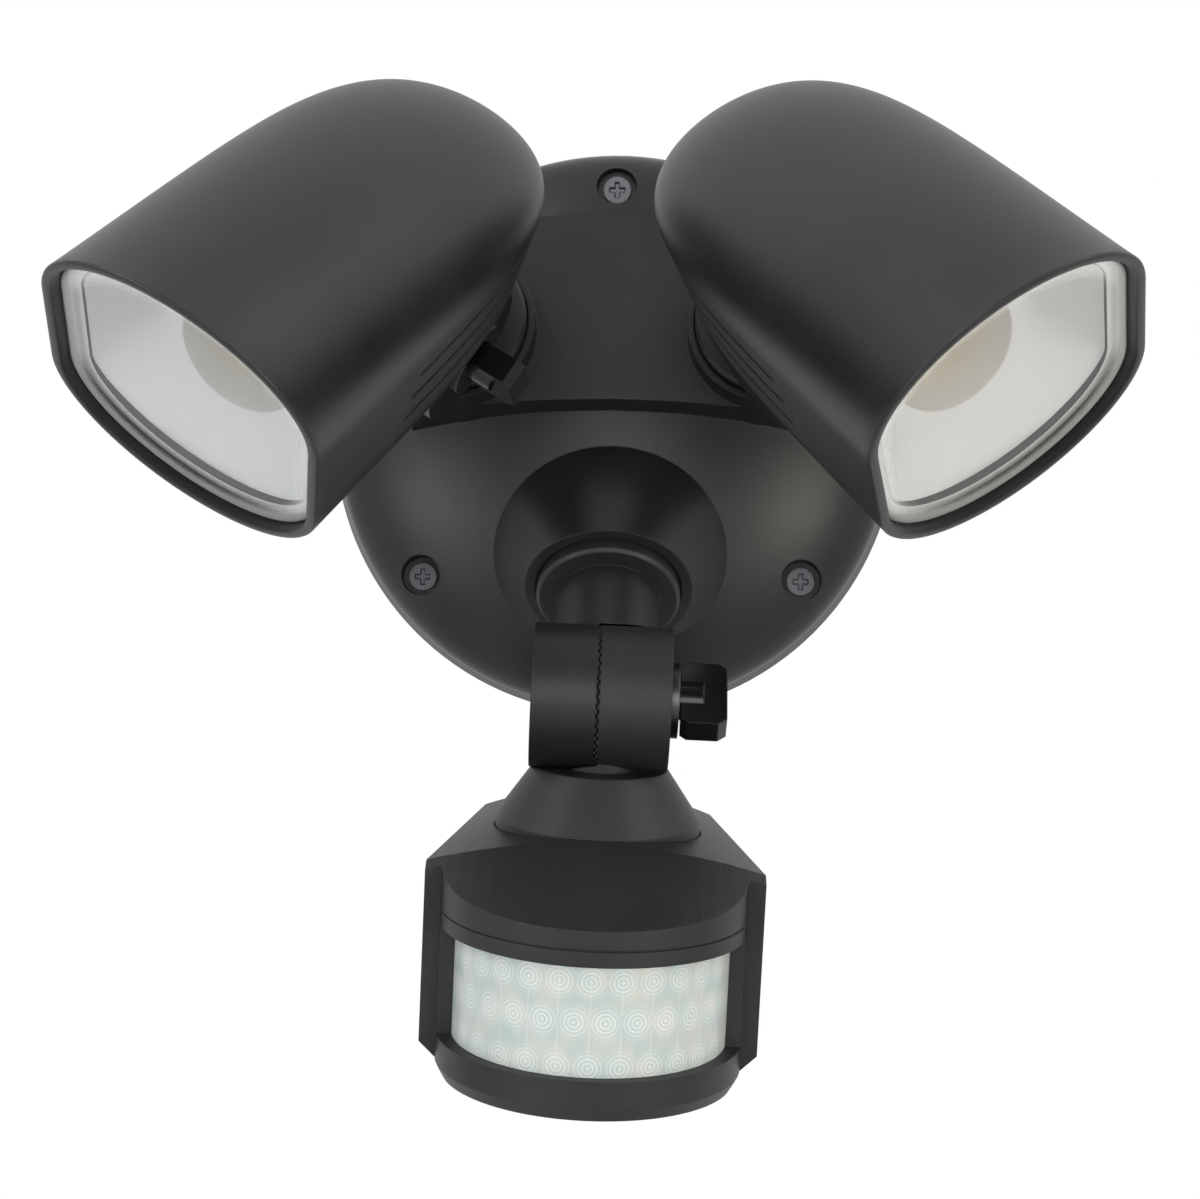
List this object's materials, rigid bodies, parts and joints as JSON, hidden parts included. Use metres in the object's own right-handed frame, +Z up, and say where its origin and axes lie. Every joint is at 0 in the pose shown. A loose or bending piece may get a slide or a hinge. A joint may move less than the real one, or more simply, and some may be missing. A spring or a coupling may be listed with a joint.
{
  "type": "motion sensor security light",
  "caption": "Wall-mounted floodlight with swivelling LED lamp heads and a motion sensor head on a round canopy, all black.",
  "frame": {"origin": "centre of the canopy's back face, on the wall, at the mouth of the cable entry", "axes": "+X to the viewer's right, +Y into the wall, so the front faces -Y, +Z up"},
  "size_m": [0.2113, 0.2358, 0.2352],
  "materials": {
    "cover_plastic": "smooth black moulded plastic, satin",
    "foam": "closed-cell foam",
    "plated_steel": "zinc plated",
    "rubber": "moulded rubber",
    "dark_screws": "blackened",
    "dark_washers": "blackened",
    "circuit_board": "green solder mask",
    "components": "moulded",
    "arm_plastic": "satin black",
    "knob_plastic": "glossy black",
    "head_plastic": "satin black, fine grain",
    "heat_sink": "plain",
    "white_board": "white solder mask",
    "phosphor": "yellow phosphor",
    "mirror_finish": "white reflector",
    "frosted": "frosted white",
    "neck_plastic": "grained black",
    "sensor_plastic": "textured black",
    "lens_plastic": "milky white moulded motion lens",
    "pyro_can": "plain can",
    "dial_plastic": "pale moulded"
  },
  "bodies": {
    "base": {"canopy_cover": "cover_plastic", "wall_gasket": "foam", "back_plate": "plated_steel", "cable_grommet": "rubber", "cover_screws": "dark_screws", "driver_board": "circuit_board", "driver_standoffs": "plated_steel", "driver_parts": "components", "terminal_block": "components", "left_swivel_seal": "rubber", "right_swivel_seal": "rubber", "sensor_swivel_seal": "rubber"},
    "left_arm_group": {"left_arm": "arm_plastic", "left_swivel_nut": "plated_steel", "left_pivot_bolt": "plated_steel", "left_knob_washer": "dark_washers"},
    "left_head_group": {"left_head_shell": "head_plastic", "left_head_neck": "head_plastic", "left_neck_screws": "plated_steel", "left_heat_sink": "heat_sink", "left_led_board": "white_board", "left_led_chip": "phosphor", "left_board_screws": "plated_steel", "left_reflector": "mirror_finish", "left_diffuser": "frosted", "left_diffuser_gasket": "rubber"},
    "left_knob_group": {"left_knob": "knob_plastic"},
    "right_arm_group": {"right_arm": "arm_plastic", "right_swivel_nut": "plated_steel", "right_pivot_bolt": "plated_steel", "right_knob_washer": "dark_washers"},
    "right_head_group": {"right_head_shell": "head_plastic", "right_head_neck": "head_plastic", "right_neck_screws": "plated_steel", "right_heat_sink": "heat_sink", "right_led_board": "white_board", "right_led_chip": "phosphor", "right_board_screws": "plated_steel", "right_reflector": "mirror_finish", "right_diffuser": "frosted", "right_diffuser_gasket": "rubber"},
    "right_knob_group": {"right_knob": "knob_plastic"},
    "sensor_arm_group": {"sensor_arm": "arm_plastic", "sensor_swivel_nut": "plated_steel", "sensor_pivot_bolt": "plated_steel", "sensor_knob_washer": "dark_washers"},
    "sensor_head_group": {"sensor_neck": "neck_plastic", "sensor_rear_housing": "sensor_plastic", "sensor_neck_screws": "plated_steel", "sensor_front_bezel": "sensor_plastic", "sensor_lens": "lens_plastic", "sensor_board": "circuit_board", "pyro_sensor": "pyro_can", "dial_pots": "components", "control_board": "circuit_board"},
    "sensor_knob_group": {"sensor_knob": "knob_plastic"},
    "range_dial_group": {"range_dial": "dial_plastic"},
    "time_dial_group": {"time_dial": "dial_plastic"},
    "light_dial_group": {"light_dial": "dial_plastic"}
  },
  "joints": [
    {"name": "left_swivel", "type": "hinge", "parent": "base", "child": "left_arm_group", "pos_m": [-0.038, -0.046, 0.0223], "axis": [0, -0.9903, 0.1392], "range_deg": [-30, 15]},
    {"name": "left_tilt", "type": "hinge", "parent": "left_arm_group", "child": "left_head_group", "pos_m": [-0.04433, -0.07998, 0.01681], "axis": [-0.849, 0.0735, 0.5233], "range_deg": [-25, 12]},
    {"name": "left_knob_turn", "type": "hinge", "parent": "left_arm_group", "child": "left_knob_group", "pos_m": [-0.04433, -0.07998, 0.01681], "axis": [0.849, -0.0735, -0.5233], "range_deg": [0, 180]},
    {"name": "right_swivel", "type": "hinge", "parent": "base", "child": "right_arm_group", "pos_m": [0.038, -0.046, 0.0223], "axis": [0, -0.9903, 0.1392], "range_deg": [-15, 30]},
    {"name": "right_tilt", "type": "hinge", "parent": "right_arm_group", "child": "right_head_group", "pos_m": [0.04495, -0.07992, 0.01723], "axis": [-0.8141, -0.0808, -0.5751], "range_deg": [-25, 12]},
    {"name": "right_knob_turn", "type": "hinge", "parent": "right_arm_group", "child": "right_knob_group", "pos_m": [0.04495, -0.07992, 0.01723], "axis": [0.8141, 0.0808, 0.5751], "range_deg": [0, 180]},
    {"name": "sensor_swivel", "type": "hinge", "parent": "base", "child": "sensor_arm_group", "pos_m": [0, -0.0336, -0.0421], "axis": [0, -0.6428, -0.766], "range_deg": [-30, 30]},
    {"name": "sensor_tilt", "type": "hinge", "parent": "sensor_arm_group", "child": "sensor_head_group", "pos_m": [0, -0.0561, -0.06891], "axis": [-0.9988, -0.0374, 0.0314], "range_deg": [-5, 30]},
    {"name": "sensor_knob_turn", "type": "hinge", "parent": "sensor_arm_group", "child": "sensor_knob_group", "pos_m": [0, -0.0561, -0.06891], "axis": [0.9988, 0.0374, -0.0314], "range_deg": [0, 180]},
    {"name": "range_dial_turn", "type": "hinge", "parent": "sensor_head_group", "child": "range_dial_group", "pos_m": [-0.02029, -0.03625, -0.14925], "axis": [-0.0382, 0.1987, -0.9793], "range_deg": [-135, 135]},
    {"name": "time_dial_turn", "type": "hinge", "parent": "sensor_head_group", "child": "time_dial_group", "pos_m": [-0.00331, -0.03561, -0.14979], "axis": [-0.0382, 0.1987, -0.9793], "range_deg": [-135, 135]},
    {"name": "light_dial_turn", "type": "hinge", "parent": "sensor_head_group", "child": "light_dial_group", "pos_m": [0.01367, -0.03498, -0.15032], "axis": [-0.0382, 0.1987, -0.9793], "range_deg": [-135, 135]}
  ]
}
